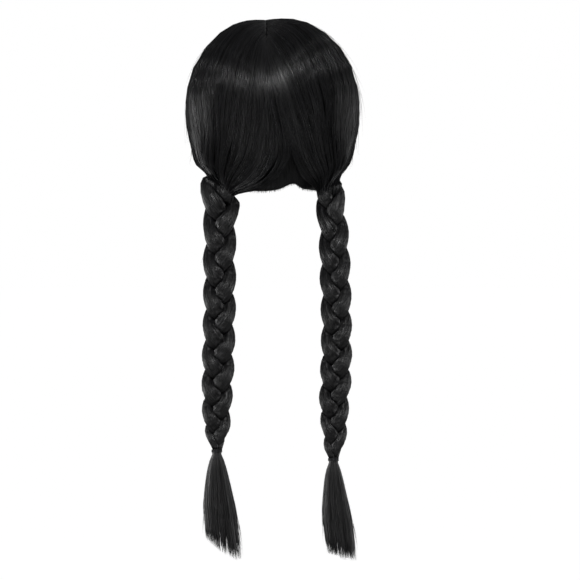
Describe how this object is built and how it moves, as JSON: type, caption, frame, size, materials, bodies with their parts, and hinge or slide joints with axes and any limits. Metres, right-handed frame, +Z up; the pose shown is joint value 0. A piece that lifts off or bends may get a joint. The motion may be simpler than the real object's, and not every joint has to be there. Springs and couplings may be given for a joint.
{
  "type": "pigtail wig",
  "caption": "Long dark wig on a net cap: hair parted along the crown and gathered low at each side into a plait, with an elastic tie above a loose tail.",
  "frame": {"origin": "the inside of the cap at the crown, where the wearer's head seats", "axes": "+X to the wearer's right, +Y to the face, +Z up; the plaits hang along -Z behind the shoulders"},
  "size_m": [0.1874, 0.1966, 0.5798],
  "materials": {
    "hair": "glossy black synthetic hair fibre, with a soft streaky sheen across the strands",
    "cap_net": "matte black stretch net",
    "parting_skin": "matte skin-toned strip, dark between the hair roots",
    "elastic": "black hair elastic with a low gloss"
  },
  "bodies": {
    "root": {"cap": "cap_net", "parting_strip": "parting_skin", "nape_hair": "hair", "hair_back_left": "hair", "hair_side_left": "hair", "plait_left_strand_1": "hair", "plait_left_strand_2": "hair", "plait_left_strand_3": "hair", "tie_left": "elastic", "tail_left": "hair", "hair_back_right": "hair", "hair_side_right": "hair", "plait_right_strand_1": "hair", "plait_right_strand_2": "hair", "plait_right_strand_3": "hair", "tie_right": "elastic", "tail_right": "hair"}
  },
  "joints": []
}
